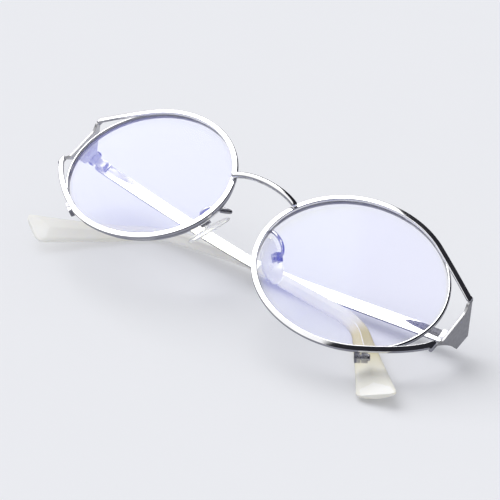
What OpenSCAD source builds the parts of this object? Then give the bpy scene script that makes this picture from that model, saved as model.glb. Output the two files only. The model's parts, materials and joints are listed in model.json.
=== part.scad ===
// Folded wire-frame spectacles with clear lenses, lying on a table.
// Everything is drawn as worn (X to the wearer's left, Y up, Z forward) and then laid down on its temples.

/* [Lenses and rims] */
// Width of a rim along its long axis, at the middle of the wire
rim_w = 55; // [53:0.2:57]
// Height of a rim, at the middle of the wire
rim_h = 46.6; // [44:0.2:49]
// Turn of each oval, outer end raised
rim_turn = 4.6; // [3:0.2:6]
// Distance between the two lens centres
lens_pitch = 72.6; // [70:0.2:76]
// Backward sweep of each half of the front
wrap = 7; // [5:0.5:9]
// Radius of the dome that lenses and rims follow
lens_curve = 150; // [120:5:200]
// Thickness of a lens
lens_t = 1.6; // [1.2:0.1:2]
// Radial width of the rim wire
rim_face = 1.1; // [1:0.05:1.4]
// Depth of the rim wire from front to back
rim_depth = 2.2; // [2:0.1:3]
// Depth of the groove that holds the lens
groove = 0.5; // [0.3:0.05:0.6]

/* [Front bows] */
// Width of the flat bow wire on the front of each rim
bow_face = 1.6; // [1.4:0.1:2]
// Thickness of the flat bow wire
bow_t = 0.9; // [0.7:0.05:1.2]
// Distance of the bow's outer corners from the lens centre
corner_out = 30.8; // [30:0.1:33]
// Height of the upper outer corner over the lens centre
corner_up = 11; // [10:0.1:13]
// Depth of the lower outer corner under the lens centre
corner_down = 5.9; // [5:0.1:7]
// Turn along the rim by which the lower arm leaves it early, so that it bows outward
low_arm_sweep = 12; // [6:1:16]

/* [Bridge] */
// Diameter of the bridge wire
bridge_d = 1.8; // [1.4:0.1:2.2]
// Height of the bridge's ends over the lens centres
bridge_y = 9; // [7:0.2:11]
// Rise of the bridge's arch
bridge_rise = 1.7; // [1:0.2:4]
// Forward sweep of the bridge's arch
bridge_front = 1.7; // [0.5:0.1:3]

/* [Endpieces and hinges] */
// Thickness of the endpiece plate
plate_t = 1; // [0.8:0.1:1.4]
// Length of the endpiece plate, front to back
plate_len = 10.9; // [10:0.1:13]
// Outward splay of the endpiece plate towards its back end
plate_splay = 3; // [0:0.5:5]
// Depth of the dip in the plate's front edge
dip_depth = 3.4; // [1.5:0.1:4]
// Height of the hinge over the lens centres
hinge_y = 4; // [3:0.1:5]
// Distance of the hinge pin inside the endpiece plate
hinge_in = 1.3; // [1.2:0.1:1.6]
// Distance of the hinge pin from the plate's back end
hinge_back = 0.6; // [0.5:0.1:0.9]
// Diameter of the hinge barrels
barrel_d = 2.2; // [2:0.1:2.4]
// Height of the middle barrel
mid_barrel = 1.4; // [1.2:0.1:1.8]
// Height of each outer barrel
end_barrel = 1.1; // [1:0.1:1.4]
// Diameter of the hinge screws
hinge_pin = 1.2; // [1:0.1:1.3]
// Diameter of the hinge screw heads
hinge_head = 2; // [1.7:0.1:2.2]
// Height of the hinge screw heads
head_h = 0.6; // [0.5:0.05:0.8]
// Length of each hinge leaf
leaf_len = 3; // [2.6:0.1:3.4]

/* [Temples] */
// Height of the temple strip at the hinge
strip_h = 3.8; // [3.6:0.1:4.4]
// Height of the temple strip where it meets the tip
strip_end = 2.8; // [2.6:0.1:3]
// Thickness of the temple strip
strip_t = 1.2; // [1:0.1:1.5]
// Length of the temple strip, hinge pin to tip sleeve
strip_len = 63.5; // [58:0.5:68]
// Downward slope of the temple from the hinge
panto = 4.2; // [3.6:0.2:5]
// Distance from the hinge pin to the ear bend
bend_at = 103.2; // [101:0.2:106]
// Downward angle of the ear bend
bend = 39; // [36:0.5:41]
// Half length of the rounded part of the ear bend
bend_reach = 6; // [5:0.5:8]
// Diameter of the core wire inside each tip
core_d = 1.1; // [0.9:0.1:1.2]

/* [Tips] */
// Length of the tip after the ear bend
tip_len = 34; // [32:0.5:37]
// Inward curve of the tip at its end
tip_in = 14; // [12:0.5:15]
// Shape of the inward curve, 1 for a straight run
tip_curl = 1.2; // [1.1:0.05:1.5]
// Height of the tip at its mouth
tip_h0 = 3.7; // [3.5:0.1:4.2]
// Height of the tip at the ear bend
tip_h1 = 4.6; // [4.2:0.1:5]
// Height of the tip at its end
tip_h2 = 10.8; // [9:0.2:12]
// Flare of the tip towards its end, 1 for straight edges
tip_flare = 1.3; // [1.2:0.1:2]
// Thickness of the tip at its mouth
tip_t0 = 2.2; // [2:0.1:2.6]
// Thickness of the tip at its thickest
tip_t1 = 2.6; // [2.4:0.1:3]
// Length of the slanted facet at the tip's end
facet_len = 4.6; // [2:0.2:6]
// Slant of the tip's end, upper corner longer
tip_slant = 18; // [0:1:25]
// Radius of the tip's end corners
tip_corner = 1.6; // [0.8:0.1:2.4]
// Length of solid tip behind the core wire's end
tip_solid = 6; // [4:0.5:10]

/* [Nose pads] */
// Length of a nose pad
pad_l = 14; // [12:0.5:15]
// Width of a nose pad
pad_w = 7.4; // [6:0.2:8]
// Thickness of a nose pad
pad_t = 1.7; // [1.5:0.1:2.2]
// Sideways distance of a pad's middle from the nose line
pad_x = 11.2; // [10.4:0.1:12]
// Depth of a pad's middle under the lens centres
pad_down = 5; // [4:0.1:6]
// Distance of a pad's middle behind the front of the bridge
pad_back = 12.7; // [12:0.1:13.6]
// Tilt of the pads seen from the front
pad_tilt = 38; // [34:1:40]
// Forward lean of the pads' upper ends
pad_lean = 30; // [20:1:35]
// Splay of the pads towards the face
pad_splay = 26; // [20:1:35]
// Diameter of the pad arm wire
arm_d = 1; // [0.8:0.05:1.2]
// Thickness of the pad box's metal
box_t = 0.4; // [0.3:0.05:0.5]
// Length of the pad box along the pad
box_l = 2.6; // [2.2:0.1:3.4]
// Diameter of the pad screw
pad_pin = 0.6; // [0.5:0.05:0.7]
// Diameter of the pad screw's head
pad_head = 1.2; // [1:0.05:1.4]

/* [Closing blocks] */
// Place of the closing blocks round the rim, below the outer end
lock_angle = 58; // [50:1:70]
// Length of each half of a closing block along the rim
lock_l = 1.7; // [1.4:0.1:2.2]
// Width of a closing block across the rim
lock_w = 2.4; // [2.2:0.1:2.8]
// Depth of a closing block behind the rim
lock_depth = 2.6; // [2.2:0.1:2.8]
// Diameter of the closing screw
lock_pin = 1.2; // [0.9:0.1:1.3]
// Diameter of the closing screw's head
lock_head = 1.9; // [1.6:0.1:2.1]

/* [Pose on the table] */
// Angle left between the folded right temple and the front
fold_right = 1; // [0.6:0.1:1.2]
// Angle left between the folded left temple and the front
fold_left = 4.5; // [4.3:0.1:5.5]

/* [Fits] */
// Radial clearance of screws in their bores
bore_gap = 0.03; // [0.02:0.01:0.08]
// Gap between hinge barrels, and beside the pad tabs
side_gap = 0.08; // [0.05:0.01:0.15]
// Gap between lens edge and groove, and round the core wire
seat_gap = 0.03; // [0.03:0.01:0.06]
// Gap between the two halves of a closing block
split_gap = 0.2; // [0.1:0.05:0.4]
// Sink of brazed pieces into each other
braze = 0.06; // [0.03:0.01:0.1]
// Gap between the endpiece and the end of the open temple
butt_gap = 0.8; // [0.6:0.05:1.2]

/* [Hidden] */

$fn = 32;
silver = "gainsboro";
steel = "darkgray";
ivory = "cornsilk";
RIGHT = -1;
LEFT = 1;

// Frames are 4 x 4 matrices, so that points and solids go through the same ones
function move(v) = [[1, 0, 0, v.x], [0, 1, 0, v.y], [0, 0, 1, v.z], [0, 0, 0, 1]];
function turn_x(a) = [[1, 0, 0, 0], [0, cos(a), -sin(a), 0], [0, sin(a), cos(a), 0], [0, 0, 0, 1]];
function turn_y(a) = [[cos(a), 0, sin(a), 0], [0, 1, 0, 0], [-sin(a), 0, cos(a), 0], [0, 0, 0, 1]];
function turn_z(a) = [[cos(a), -sin(a), 0, 0], [sin(a), cos(a), 0, 0], [0, 0, 1, 0], [0, 0, 0, 1]];
function flip(side) = [[side, 0, 0, 0], [0, 1, 0, 0], [0, 0, 1, 0], [0, 0, 0, 1]];
function at(frame, p) = let (q = frame * [p.x, p.y, p.z, 1]) [q.x, q.y, q.z];
function along(frame, v) = at(frame, v) - at(frame, [0, 0, 0]);
function unit(v) = v / norm(v);
function mix(a, b, t) = a + (b - a) * t;
function middle(points) = [for (p = points) 1] * points / len(points);
function bezier(p, t) =
    len(p) == 1 ? p[0] : bezier([for (i = [0:len(p) - 2]) mix(p[i], p[i + 1], t)], t);

// Closed solid through a row of loops that turn right-handed about their row, with a fan over each end
module loft(loops) {
    n = len(loops[0]);
    m = len(loops);
    points = concat([for (loop = loops) each loop], [middle(loops[0]), middle(loops[m - 1])]);
    sides = [for (i = [0:m - 2], j = [0:n - 1]) let (k = (j + 1) % n)
        each [[i * n + j, (i + 1) * n + k, i * n + k], [i * n + j, (i + 1) * n + j, (i + 1) * n + k]]];
    ends = [for (j = [0:n - 1]) let (k = (j + 1) % n)
        each [[m * n, j, k], [m * n + 1, (m - 1) * n + k, (m - 1) * n + j]]];
    polyhedron(points, concat(sides, ends), convexity = 6);
}

// Loops of a round wire that follows a row of points
WIRE_SIDES = 10;
function wire(path, d, up) = [for (i = [0:len(path) - 1])
    let (
        t = unit(path[min(i + 1, len(path) - 1)] - path[max(i - 1, 0)]),
        a = unit(cross(t, up)),
        b = cross(t, a)
    )
    [for (j = [0:WIRE_SIDES - 1]) let (w = 360 * j / WIRE_SIDES)
        path[i] + (a * cos(w) + b * sin(w)) * d / 2]];

// Lens frame: X along the front to the outer end, Y up, Z out of the front, origin at the lens centre
lens_frame = move([lens_pitch / 2, 0, -lens_pitch / 2 * tan(wrap)]) * turn_y(wrap);
STEPS = 72;

// Point of the rim's oval, pushed outward by grow
function oval(th, grow) =
    let (
        e = [rim_w / 2 * cos(th), rim_h / 2 * sin(th)],
        n = unit([rim_h * cos(th), rim_w * sin(th)]),
        p = e + grow * n
    )
    [p.x * cos(rim_turn) - p.y * sin(rim_turn), p.x * sin(rim_turn) + p.y * cos(rim_turn)];
// Depth of the dome under a point of the front, then that point in 3-D
function sag(p) = lens_curve - sqrt(lens_curve * lens_curve - p * p);
function on_front(p, depth) = [p.x, p.y, -sag(p) - depth];

// Middle of the rim's wire, from its front under the bow to its back
rim_front = bow_t - braze;
rim_back = rim_front + rim_depth;
groove_at = (rim_front + rim_back) / 2;
groove_half = lens_t / 3;

// The eyewire's section: a channel with a V groove inside, as outward and depth pairs
eyewire_section = [
    [rim_face / 2, rim_front], [rim_face / 2, rim_back], [-rim_face / 2, rim_back],
    [-rim_face / 2, groove_at + groove_half], [groove - rim_face / 2, groove_at],
    [-rim_face / 2, groove_at - groove_half], [-rim_face / 2, rim_front]
];
// Angle of half the split between the rim's ends, where the closing block holds them
split_angle = split_gap / 2 / (rim_w / 2) * 180 / PI;

eyewire_loops = [for (i = [0:STEPS])
    let (th = -lock_angle + split_angle + (360 - 2 * split_angle) * i / STEPS)
    [for (s = eyewire_section) on_front(oval(th, s[0]), s[1])]];
module eyewire(side) color(silver) multmatrix(laid * flip(side) * lens_frame)
    loft(eyewire_loops);

// The lens: domed faces and a bevelled edge that sits in the groove
lens_edge = -rim_face / 2 - seat_gap;
module lens(side) color("lavender", 0.4) multmatrix(laid * flip(side) * lens_frame) {
    front = groove_at - lens_t / 2;
    back = groove_at + lens_t / 2;
    bevel = lens_edge + groove - seat_gap;
    // Each loop is a share of the oval, its outward offset and its depth
    loops = [
        [0.15, lens_edge, front], [0.5, lens_edge, front], [0.8, lens_edge, front], [1, lens_edge, front],
        [1, lens_edge, groove_at - groove_half], [1, bevel, groove_at], [1, lens_edge, groove_at + groove_half],
        [1, lens_edge, back], [0.8, lens_edge, back], [0.5, lens_edge, back], [0.15, lens_edge, back]
    ];
    loft([for (loop = loops) [for (i = [0:STEPS - 1])
        on_front(oval(-lock_angle - 360 * i / STEPS, loop[1]) * loop[0], loop[2])]]);
}

// Corners of the bow, and the places where its arms leave the oval: the upper one along a tangent
corner_top = [corner_out, corner_up];
corner_low = [corner_out, -corner_down];
function on_circle(p) =
    [(p.x * cos(rim_turn) + p.y * sin(rim_turn)) / (rim_w / 2),
     (-p.x * sin(rim_turn) + p.y * cos(rim_turn)) / (rim_h / 2)];
function tangent_angle(p, way) = let (q = on_circle(p)) atan2(q.y, q.x) + way * acos(1 / norm(q));
leave_top = tangent_angle(corner_top, 1);
leave_low = tangent_angle(corner_low, -1) - low_arm_sweep;
LOW_ARM_PULL = 0.65;
low_arm = let (
        from = oval(leave_low, 0),
        way = unit(oval(leave_low + 1, 0) - oval(leave_low - 1, 0))
    )
    [corner_low, from + way * norm(corner_low - from) * LOW_ARM_PULL, from];
BOW_STEPS = 54;
bow_path = concat(
    [for (i = [0:5]) bezier(low_arm, i / 6)],
    [for (i = [0:BOW_STEPS]) oval(mix(leave_low, leave_top - 360, i / BOW_STEPS), 0)],
    [corner_top]
);

// Loops of the bow's flat section along its path
bow_loops = [for (i = [0:len(bow_path) - 1])
    let (
        t = unit(bow_path[min(i + 1, len(bow_path) - 1)] - bow_path[max(i - 1, 0)]),
        n = [t.y, -t.x] * bow_face / 2,
        p = bow_path[i]
    )
    [on_front(p + n, 0), on_front(p - n, 0), on_front(p - n, bow_t), on_front(p + n, bow_t)]];

module bow(side) color(silver) multmatrix(laid * flip(side) * lens_frame)
    loft([for (i = [len(bow_loops) - 1:-1:0]) bow_loops[i]]);

// The bridge: an arched wire brazed on the fronts of both bows
bridge_sink = 0.25;
bridge_end = let (
        th = asin(bridge_y / (rim_h / 2)),
        p = oval(180 - th - rim_turn, 0)
    )
    at(lens_frame, on_front(p, -bridge_d / 2 + bridge_sink));
bridge_path = let (
        e = bridge_end,
        rise = [0, bridge_rise, bridge_front] * 4 / 3,
        inner = [e.x / 2, e.y, e.z] + rise
    )
    [for (i = [0:20]) bezier([e, inner, [-inner.x, inner.y, inner.z], [-e.x, e.y, e.z]], i / 20)];
module bridge() color(silver) multmatrix(laid) loft(wire(bridge_path, bridge_d, [0, 0, 1]));

// Endpiece frame: X back along the plate, Y up, Z outward, origin under the bow's corners
corner_at = at(lens_frame, on_front([corner_out, (corner_up - corner_down) / 2], 0));
corner_lift = at(lens_frame, on_front(corner_top, 0)).z - corner_at.z;
plate_frame = move([corner_at.x, 0, corner_at.z + corner_lift]) * turn_y(90 - plate_splay);
barrel_r = barrel_d / 2;
pin_back = plate_len - hinge_back;
hinge_h = mid_barrel + 2 * end_barrel + 2 * side_gap;
plate_margin = 0.8;
plate_end = hinge_h / 2 + plate_margin;
tab = bow_face * 0.8;

// Plate outline: two corner tabs, the dip between them, and edges that curve in to the hinge
plate_outline = let (
        top = corner_up + bow_face / 2,
        low = -corner_down - bow_face / 2,
        back_top = [plate_len, hinge_y + plate_end],
        back_low = [plate_len - hinge_back / 2, hinge_y - plate_end]
    )
    concat(
        [[0, top], [0, top - tab], [dip_depth, top - tab - dip_depth], [dip_depth, low + tab + dip_depth],
         [0, low + tab], [0, low]],
        [for (i = [1:6]) bezier([[0, low], [plate_len / 2, mix(low, back_low.y, 0.75)], back_low], i / 6)],
        [for (i = [0:5]) bezier([back_top, [plate_len / 2, mix(top, back_top.y, 0.5)], [0, top]], i / 6)]
    );
module endpiece(side) color(silver) multmatrix(laid * flip(side) * plate_frame)
    translate([0, 0, -plate_t / 2])
        linear_extrude(plate_t)
            polygon(plate_outline);

// Pin frame: the endpiece's frame moved to the hinge pin, inside the plate
pin_point = at(plate_frame, [pin_back, hinge_y, -plate_t / 2 - hinge_in]);
front_pin = move(pin_point) * turn_y(90 - plate_splay);
barrel_space = 0.4;
barrel_room = barrel_r + barrel_space;

// Upright cylinder about the hinge pin from height low, in the pin frame
module barrel(low, height, d) translate([0, low, 0])
    rotate([-90, 0, 0])
        cylinder(h = height, d = d);

// The front leaf: a plate on the endpiece with an upper and a lower barrel
module front_hinge_leaf(side) color(steel) multmatrix(laid * flip(side) * front_pin)
    difference() {
        union() {
            translate([-leaf_len, -hinge_h / 2, 0])
                cube([leaf_len - barrel_room, hinge_h, hinge_in + braze]);
            for (low = [-hinge_h / 2, hinge_h / 2 - end_barrel]) {
                barrel(low, end_barrel, barrel_d);
                translate([-barrel_room, low, 0])
                    cube([barrel_room, end_barrel, hinge_in + braze]);
            }
        }
        barrel(-hinge_h, 2 * hinge_h, hinge_pin + 2 * bore_gap);
    }

// The hinge screw: shank through all three barrels, and a slotted head on top
module hinge_screw(side) color(steel) multmatrix(laid * flip(side) * front_pin)
    difference() {
        union() {
            barrel(-hinge_h / 2, hinge_h, hinge_pin);
            barrel(hinge_h / 2, head_h, hinge_head);
        }
        translate([0, hinge_h / 2 + head_h, 0])
            cube([2 * hinge_head, head_h, head_h / 3], center = true);
    }

// Temple frame: X along the open temple, Y up, Z outward, origin on the hinge pin
function fold(side) = side == RIGHT ? fold_right : fold_left;
function temple_frame(side) = flip(side) * move(pin_point) * turn_y(180 - fold(side));
strip_mid = hinge_in + plate_t - strip_t / 2;
strip_inner = strip_mid - strip_t / 2;
butt = hinge_back + butt_gap;
leaf_inset = 0.6;
neck_drop = 0.4;

// The temple leaf: a block on the strip's inner face, and a lower neck with the middle barrel
module temple_hinge_leaf(side) color(steel) multmatrix(laid * temple_frame(side))
    difference() {
        union() {
            translate([butt, -strip_h / 2 + leaf_inset, 0])
                cube([leaf_len, strip_h - 2 * leaf_inset, strip_inner + braze]);
            barrel(-mid_barrel / 2, mid_barrel, barrel_d);
            translate([0, -mid_barrel / 2, 0])
                cube([butt + leaf_len / 2, mid_barrel, hinge_in - neck_drop]);
        }
        barrel(-hinge_h, 2 * hinge_h, hinge_pin + 2 * bore_gap);
    }

// Middle line of the temple in its own frame, and its downward drop at the ear bend
function temple_at(s) =
    let (
        line = turn_z(-panto),
        elbow = [bend_at, 0, 0],
        reach = [cos(bend), -sin(bend), 0],
        f = max(0, s - bend_at) / tip_len,
        flat = abs(s - bend_at) < bend_reach
            ? bezier([elbow - [bend_reach, 0, 0], elbow, elbow + reach * bend_reach],
                     (s - bend_at) / bend_reach / 2 + 0.5)
            : s < bend_at ? [s, 0, 0] : elbow + reach * (s - bend_at)
    )
    along(line, flat) + [0, 0, strip_mid - tip_in * pow(f, tip_curl)];

// Directions at a station of the temple: up its height, outward through its thickness, and along it
function across(s) =
    let (
        t = unit(temple_at(s + 0.5) - temple_at(s - 0.5)),
        high = unit(cross([0, 0, 1], t))
    )
    [high, cross(t, high), t];

// Loops of the core wire, which the sleeve's channel repeats with a gap
tip_end = bend_at + tip_len;
core_end = tip_end - tip_solid;
TIP_SIDES = 10;
TIP_STEP = 2.2;
function core_loop(s, d) = let (c = temple_at(s), x = across(s))
    [for (j = [0:TIP_SIDES - 1]) let (w = 360 * j / TIP_SIDES)
        c + (x[0] * cos(w) + x[1] * sin(w)) * d / 2];
function stations(from, to, step) = let (n = ceil((to - from) / step))
    [for (i = [0:n]) mix(from, to, i / n)];
CORE_ROOT = 1;
core_stations = stations(strip_len, core_end, TIP_STEP);

// Half heights and thickness of the tip along its length
function tip_high(s) =
    let (
        past = max(0, s - bend_at) / tip_len,
        full = s < bend_at
            ? mix(tip_h0, tip_h1, (s - strip_len) / (bend_at - strip_len))
            : mix(tip_h1, tip_h2, pow(past, tip_flare)),
        d = max(0, s - tip_end + tip_corner)
    )
    full - 2 * tip_corner + 2 * sqrt(max(0, tip_corner * tip_corner - d * d));
function tip_thick(s) = s < bend_at
    ? mix(tip_t0, tip_t1, (s - strip_len) / (bend_at - strip_len))
    : mix(tip_t1, tip_t0, (s - bend_at) / tip_len);

// Section of the tip: a low ridge along both faces, cut by the slanted facet at the end
ridge_section = [
    [0.5, 0.16], [0.4, 0.33], [0, 0.5], [-0.4, 0.33], [-0.5, 0.16],
    [-0.5, -0.16], [-0.4, -0.33], [0, -0.5], [0.4, -0.33], [0.5, -0.16]
];
// Share of the thickness by which the facet passes the tip's middle
END_EDGE = 0.05;
function tip_loop(s) =
    let (
        c = temple_at(s),
        x = across(s),
        past = max(0, s - bend_at) / tip_len,
        lean = x[0] + x[2] * tan(tip_slant) * past * past,
        cut = mix(0.5, -END_EDGE, max(0, s - tip_end + facet_len) / facet_len)
    )
    [for (p = ridge_section) c + lean * p[0] * tip_high(s) + x[1] * max(p[1], -cut) * tip_thick(s)];
tip_stations = concat(
    stations(strip_len, tip_end - facet_len, TIP_STEP),
    [for (i = [1:6]) tip_end - facet_len * (1 - i / 6)]
);

// The temple: a flat strip that narrows to the tip, a leaf-shaped bevel by the hinge, and the core wire
module temple(side) color(silver) multmatrix(laid * temple_frame(side)) {
    difference() {
        multmatrix(turn_z(-panto))
            translate([0, 0, strip_mid - strip_t / 2])
                linear_extrude(strip_t)
                    polygon([
                        [butt, -strip_h / 2], [strip_len, -strip_end / 2],
                        [strip_len, strip_end / 2], [butt, strip_h / 2]
                    ]);
        bevel_cut();
    }
    loft([for (s = core_stations) core_loop(s == strip_len ? s - CORE_ROOT : s, core_d)]);
}

// A wide shallow groove, tilted so that it runs out to a point along the strip
bevel_r = 9;
bevel_depth = 0.4;
bevel_gap = 0.6;
bevel_tilt = 2;
bevel_len = 13;
module bevel_cut() multmatrix(turn_z(-panto))
    translate([butt + leaf_len + bevel_gap, strip_h / 5, strip_mid - strip_t / 2 - bevel_r + bevel_depth])
        rotate([0, 90 + bevel_tilt, 0])
            cylinder(h = bevel_len, r = bevel_r, $fn = 96);

// The tip: an ivory sleeve moulded round the core wire, open at its mouth
module temple_tip(side) color(ivory) multmatrix(laid * temple_frame(side))
    let (inner = concat(core_stations, [core_end + seat_gap]))
    loft(concat(
        [for (i = [len(inner) - 1:-1:0]) core_loop(inner[i], core_d + 2 * seat_gap)],
        [for (s = tip_stations) tip_loop(s)]
    ));

// Closing block frame: X along the rim, Y outward from the lens, Z forward, origin on the rim's back
lock_point = oval(-lock_angle, 0);
lock_way = let (d = oval(-lock_angle + 1, 0) - oval(-lock_angle - 1, 0)) atan2(d.y, d.x);
lock_frame = lens_frame * move(on_front(lock_point, rim_back)) * turn_z(lock_way)
    * flip(-1) * turn_z(180);
lock_screw_at = -lock_depth / 2 - braze;
lock_out = 0.3;

module lock_bore(d) translate([0, lock_out, lock_screw_at])
    rotate([0, 90, 0])
        cylinder(h = 8 * lock_l, d = d, center = true);

// One half of a closing block, brazed behind one end of the rim; way is 1 for the upper half
module closing_block(side, way) color(steel) multmatrix(laid * flip(side) * lock_frame)
    difference() {
        translate([way > 0 ? split_gap / 2 : -split_gap / 2 - lock_l, -lock_w / 2 + lock_out, -lock_depth])
            cube([lock_l, lock_w, lock_depth + braze]);
        lock_bore(lock_pin + 2 * bore_gap);
    }

// The closing screw: a shank through both halves, and a slotted head on the upper one
module closing_screw(side) color(steel) multmatrix(laid * flip(side) * lock_frame)
    translate([0, lock_out, lock_screw_at])
        rotate([0, 90, 0])
            difference() {
                union() {
                    translate([0, 0, -split_gap / 2 - lock_l])
                        cylinder(h = split_gap + 2 * lock_l, d = lock_pin);
                    translate([0, 0, split_gap / 2 + lock_l])
                        cylinder(h = lock_head / 3, d = lock_head);
                }
                translate([0, 0, split_gap / 2 + lock_l + lock_head / 3])
                    cube([2 * lock_head, lock_head / 6, lock_head / 3], center = true);
            }

// Pad frame: Y along the pad, X away from the nose, Z across, origin at the pad's middle
pad_frame = move([pad_x, -pad_down, -pad_back]) * turn_x(pad_lean) * turn_z(pad_tilt) * turn_y(-pad_splay);
tab_t = 1.2;
tab_reach = 2.2;
tab_root = 0.2;
tab_hole = 1.4;
box_clear = 0.6;
box_space = 1.5;
pad_pivot = pad_t / 2 + tab_hole;
box_front = pad_t / 2 + box_clear;
box_back = pad_pivot + box_space;
box_half = tab_t / 2 + side_gap + box_t;

// Cylinder along the pad screw
module pad_bore(d, half) translate([pad_pivot, 0, 0])
    cylinder(h = 2 * half, d = d, center = true);

// The pad: a soft domed oval, narrower at its upper end, with a tab moulded on its back
PAD_TAPER = 0.18;
module nose_pad(side) color("white", 0.5) multmatrix(laid * flip(side) * pad_frame) {
    layers = [[-0.5, 0.55], [-0.36, 0.86], [0, 1], [0.3, 0.94], [0.5, 0.7]];
    loft([for (layer = layers) [for (i = [0:27]) let (w = 360 * i / 28)
        [layer[0] * pad_t, layer[1] * pad_l / 2 * cos(w),
         layer[1] * pad_w / 2 * sin(w) * (1 - PAD_TAPER * cos(w))]]]);
    difference() {
        translate([pad_t / 2 - tab_root, -tab_t / 2, -tab_t / 2])
            cube([tab_reach + tab_root, tab_t, tab_t]);
        pad_bore(pad_pin + 2 * bore_gap, tab_t);
    }
}

// The pad box: a folded clip of two cheeks and a back
module pad_box(side) color(steel) multmatrix(laid * flip(side) * pad_frame)
    difference() {
        union() {
            for (z = [-box_half, box_half - box_t])
                translate([box_front, -box_l / 2, z])
                    cube([box_back - box_front, box_l, box_t]);
            translate([box_back - box_t, -box_l / 2, -box_half])
                cube([box_t, box_l, 2 * box_half]);
        }
        pad_bore(pad_pin + 2 * bore_gap, 2 * box_half);
    }

// The pad screw: a thin shank through the box and the tab, and a round head
module pad_screw(side) color(steel) multmatrix(laid * flip(side) * pad_frame)
    union() {
        pad_bore(pad_pin, box_half);
        translate([pad_pivot, 0, box_half])
            cylinder(h = box_t, d = pad_head);
    }

// The pad arm: a wire that leaves the back of the rim, loops up and returns to the pad box
ARM_ANGLE = 178;
arm_root = at(lens_frame, on_front(oval(ARM_ANGLE, 0), rim_back - 2 * braze));
arm_end = at(pad_frame, [box_back - braze, 0, 0]);
arm_leave = [-1.6, 2.4, -2.4];
arm_loop = [-4.8, 4.6, -4.4];
arm_over = [4, 5, 0];
arm_meet = [3, 0, 0];
ARM_STEPS = 18;
arm_path = [for (i = [0:ARM_STEPS]) bezier([
        arm_root,
        arm_root + arm_leave,
        arm_root + arm_loop,
        arm_end + along(pad_frame, arm_over),
        arm_end + along(pad_frame, arm_meet),
        arm_end
    ], i / ARM_STEPS)];
module pad_arm(side) color(silver) multmatrix(laid * flip(side)) loft(wire(arm_path, arm_d, [1, 0, 0]));

// Resting pose: the folded glasses lie on both ear bends and on one tip
function sleeve(side, from, to) =
    [for (s = tip_stations) if (s >= from && s <= to) each [for (p = tip_loop(s)) at(temple_frame(side), p)]];
elbow_span = tip_len / 3;
elbow_right = sleeve(RIGHT, bend_at - elbow_span, bend_at + elbow_span);
elbow_left = sleeve(LEFT, bend_at - elbow_span, bend_at + elbow_span);
end_right = sleeve(RIGHT, bend_at + elbow_span, tip_end);
function lowest(points, up) = let (h = [for (p = points) p * up], low = min(h))
    [for (i = [0:len(h) - 1]) if (h[i] == low) points[i]][0];
function plane_up(a, b, c) = let (n = cross(b - a, c - a)) unit(n) * sign(n.z);
function settle(up, rounds) = rounds == 0 ? up
    : settle(plane_up(lowest(elbow_right, up), lowest(elbow_left, up), lowest(end_right, up)), rounds - 1);
table_up = settle(unit([-0.1, 0.5, 1]), 6);
table_x = unit([1, 0, 0] - table_up * table_up.x);
table_y = cross(table_up, table_x);
table_turn = [
    [table_x.x, table_x.y, table_x.z, 0], [table_y.x, table_y.y, table_y.z, 0],
    [table_up.x, table_up.y, table_up.z, 0], [0, 0, 0, 1]
];

// The table's origin is under the middle of everything that reaches furthest out
cloud = [for (side = [RIGHT, LEFT]) each concat(
    [for (loop = concat(bow_loops, eyewire_loops)) each
        [for (p = loop) at(table_turn * flip(side) * lens_frame, p)]],
    [for (p = plate_outline) each [for (z = [-plate_t, plate_t] / 2)
        at(table_turn * flip(side) * plate_frame, [p.x, p.y, z])]],
    [for (s = tip_stations) each [for (p = tip_loop(s)) at(table_turn * temple_frame(side), p)]]
)];
cloud_low = [for (k = [0:2]) min([for (p = cloud) p[k]])];
cloud_high = [for (k = [0:2]) max([for (p = cloud) p[k]])];
laid = move([-(cloud_low.x + cloud_high.x) / 2, -(cloud_low.y + cloud_high.y) / 2, -cloud_low.z]) * table_turn;

// Joint places and axes on the table, for whoever drives the hinges
for (side = [RIGHT, LEFT]) {
    echo(temple_pin = side, at = at(laid * flip(side), pin_point), axis = along(laid, [0, -side, 0]));
    echo(pad_pivot = side, at = at(laid * flip(side) * pad_frame, [pad_pivot, 0, 0]),
         axis = along(laid * flip(side) * pad_frame, [0, 0, 1]));
}

lens(RIGHT);  // lens_right
lens(LEFT);  // lens_left
eyewire(RIGHT);  // eyewire_right
eyewire(LEFT);  // eyewire_left
bow(RIGHT);  // bow_right
bow(LEFT);  // bow_left
bridge();
endpiece(RIGHT);  // endpiece_right
endpiece(LEFT);  // endpiece_left
front_hinge_leaf(RIGHT);  // front_hinge_leaf_right
front_hinge_leaf(LEFT);  // front_hinge_leaf_left
hinge_screw(RIGHT);  // hinge_screw_right
hinge_screw(LEFT);  // hinge_screw_left
closing_block(RIGHT, 1);  // upper_closing_block_right
closing_block(LEFT, 1);  // upper_closing_block_left
closing_block(RIGHT, -1);  // lower_closing_block_right
closing_block(LEFT, -1);  // lower_closing_block_left
closing_screw(RIGHT);  // closing_screw_right
closing_screw(LEFT);  // closing_screw_left
pad_arm(RIGHT);  // pad_arm_right
pad_arm(LEFT);  // pad_arm_left
pad_box(RIGHT);  // pad_box_right
pad_box(LEFT);  // pad_box_left
pad_screw(RIGHT);  // pad_screw_right
pad_screw(LEFT);  // pad_screw_left
nose_pad(RIGHT);  // nose_pad_right
nose_pad(LEFT);  // nose_pad_left
temple_hinge_leaf(RIGHT);  // temple_hinge_leaf_right
temple_hinge_leaf(LEFT);  // temple_hinge_leaf_left
temple(RIGHT);  // temple_right
temple(LEFT);  // temple_left
temple_tip(RIGHT);  // temple_tip_right
temple_tip(LEFT);  // temple_tip_left
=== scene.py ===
import json
from math import acos, asin, atan2, ceil, cos, degrees, exp, hypot, pi, radians, sin, sqrt, tan

import bmesh
import bpy
from mathutils import Matrix, Vector


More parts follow.
